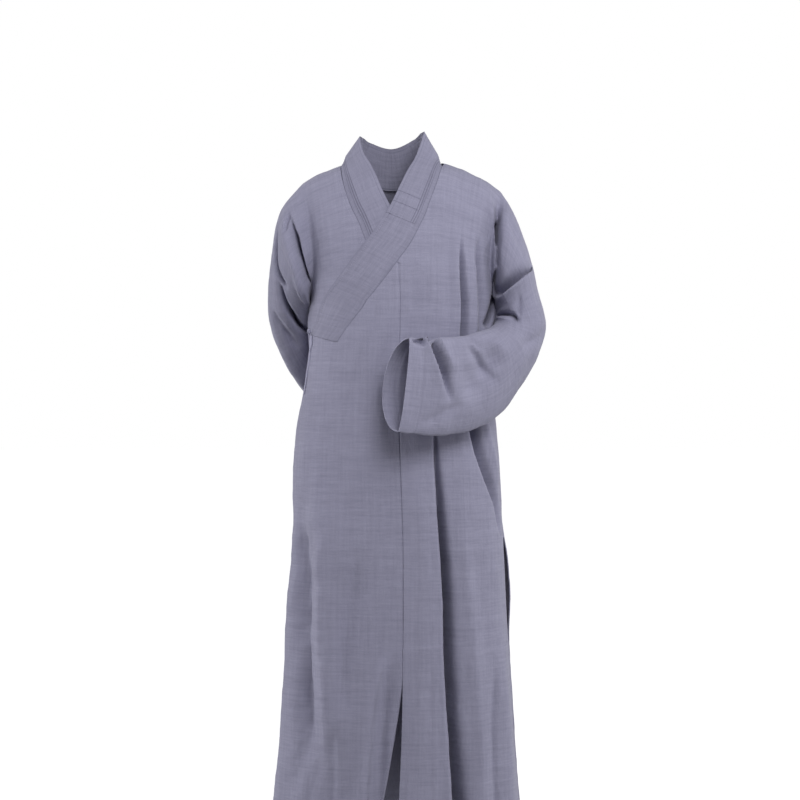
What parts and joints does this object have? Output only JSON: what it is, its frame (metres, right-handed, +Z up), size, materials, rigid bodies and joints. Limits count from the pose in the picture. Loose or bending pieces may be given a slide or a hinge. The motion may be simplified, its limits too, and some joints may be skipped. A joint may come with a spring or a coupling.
{
  "type": "buddhist monk robe",
  "caption": "Ankle-length cross-collar robe worn hollow: wrapped fronts, stepped collar guard, wide bent sleeves, front and side slits and a side tie.",
  "frame": {"origin": "where the shoulders hold the robe, in the middle between them at the base of the neck", "axes": "+Z up, +X to the wearer's left, -Y to the front"},
  "size_m": [0.5743, 0.4742, 1.4358],
  "materials": {
    "robe_cloth": "matte slubbed linen, blue-grey",
    "collar_cloth": "matte slubbed linen, blue-grey, pressed",
    "guard_cloth": "matte slubbed linen, blue-grey, pressed",
    "tie_cloth": "matte folded linen tape"
  },
  "bodies": {
    "root": {"front_left_upper": "robe_cloth", "front_left_lower": "robe_cloth", "front_overlap": "robe_cloth", "front_under_upper": "robe_cloth", "front_under_lower": "robe_cloth", "back_upper": "robe_cloth", "back_lower": "robe_cloth", "sleeve_left_upper": "robe_cloth", "sleeve_left_lower": "robe_cloth", "sleeve_right_upper": "robe_cloth", "sleeve_right_lower": "robe_cloth", "collar_band": "collar_cloth", "guard_low": "guard_cloth", "guard_middle": "guard_cloth", "guard_top": "guard_cloth", "tie_knot": "tie_cloth", "tie_leaf": "tie_cloth", "tie_strand": "tie_cloth"}
  },
  "joints": []
}
